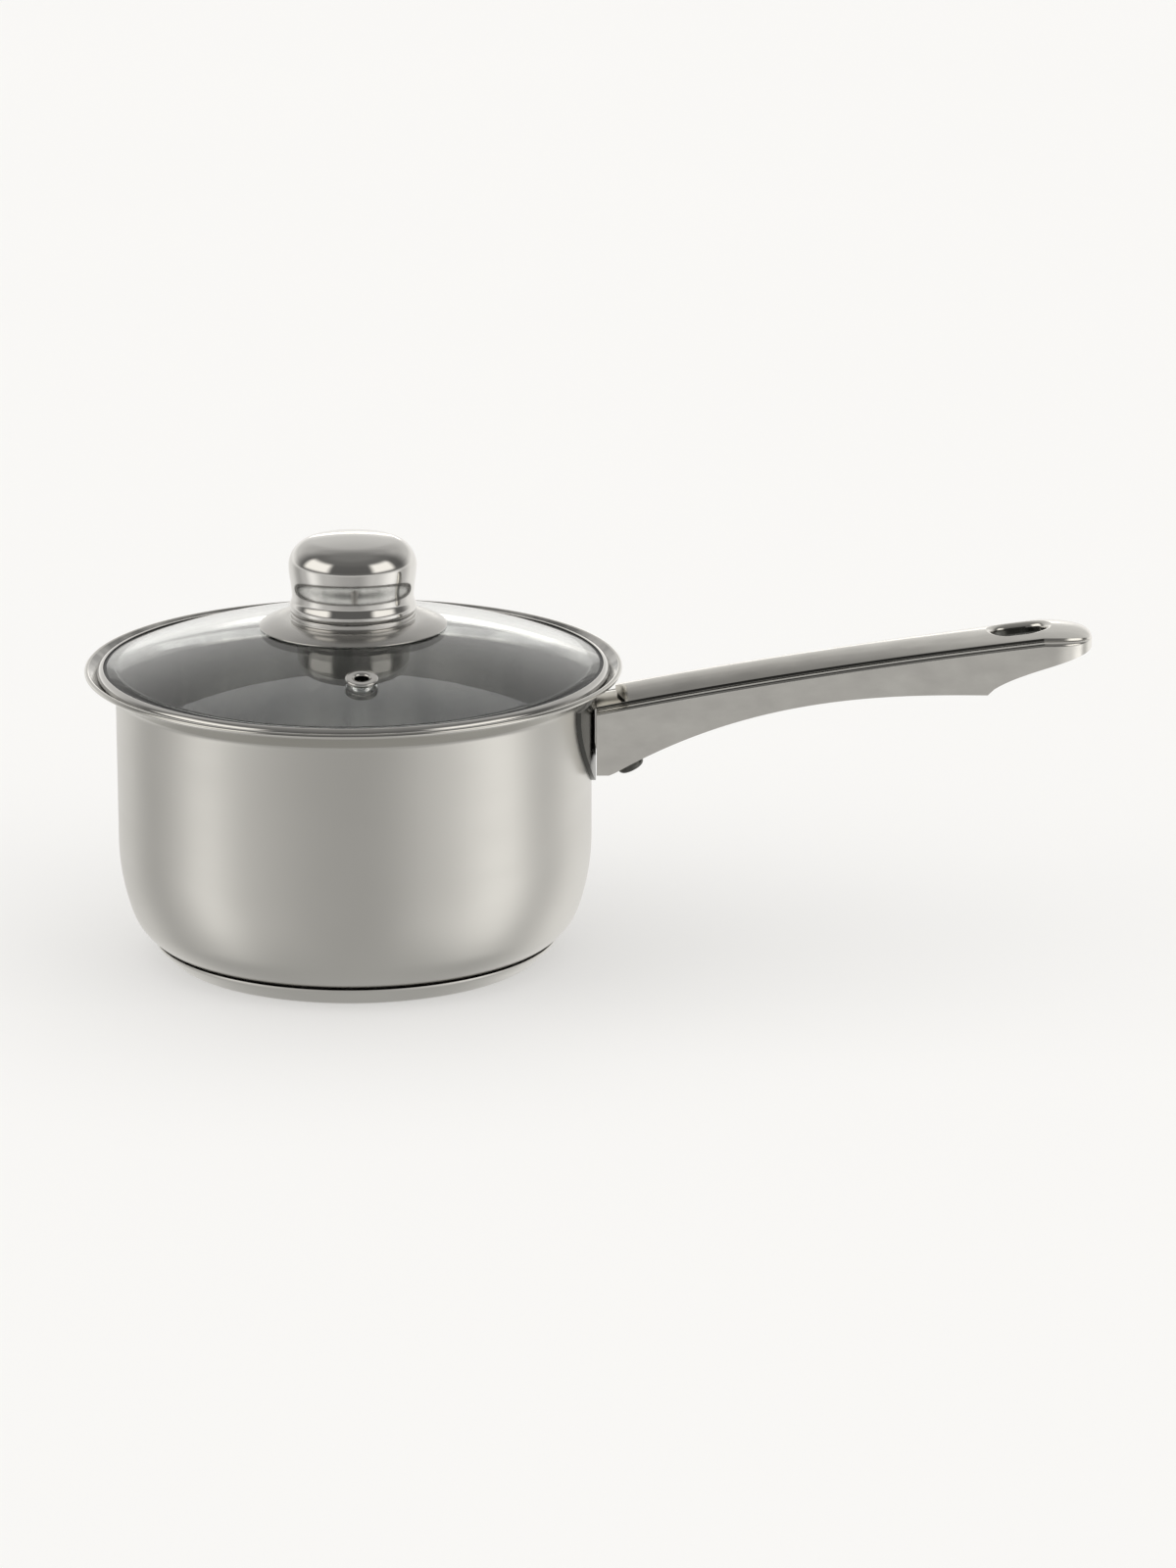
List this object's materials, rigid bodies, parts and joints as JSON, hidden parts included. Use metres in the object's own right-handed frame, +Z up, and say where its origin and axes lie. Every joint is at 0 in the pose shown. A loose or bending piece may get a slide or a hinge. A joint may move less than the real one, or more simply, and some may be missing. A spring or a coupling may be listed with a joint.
{
  "type": "saucepan with glass lid",
  "caption": "Steel saucepan with rounded belly, flared pouring rim, sandwich base, hollow bowed handle with hanging slot, and a domed glass lid with steel band, steam vent and steel knob.",
  "frame": {"origin": "centre of the base's flat underside, on the pan's axis", "axes": "+Z up along the pan's axis, +X along the handle away from the pan"},
  "size_m": [0.3402, 0.1818, 0.145],
  "materials": {
    "pan_steel": "satin brushed stainless steel",
    "handle_steel": "fine satin stainless steel",
    "polished_steel": "mirror polished stainless steel",
    "fixing_steel": "plain steel",
    "aluminium_core": "plain",
    "clear_glass": "clear tempered glass",
    "silicone": "matt silicone"
  },
  "bodies": {
    "pan": {"pan_body": "pan_steel", "base_disc": "aluminium_core", "base_cap": "pan_steel", "handle_shield": "polished_steel", "handle_tongue": "handle_steel", "handle_shell": "handle_steel", "clamp_plate": "fixing_steel", "clamp_nut": "fixing_steel", "handle_screw": "fixing_steel"},
    "lid": {"lid_glass": "clear_glass", "lid_band": "polished_steel", "vent_eyelet": "polished_steel", "vent_washer": "fixing_steel", "knob_skirt": "polished_steel", "knob_seal_upper": "silicone", "knob_seal_lower": "silicone", "knob_washer": "fixing_steel", "knob_base_plate": "fixing_steel", "knob_bush": "fixing_steel", "knob_cap": "polished_steel", "knob_screw": "fixing_steel"}
  },
  "joints": [
    {"name": "lid_lift", "type": "slide", "parent": "pan", "child": "lid", "axis": [0, 0, 1], "range_m": [0, 0.12]}
  ]
}
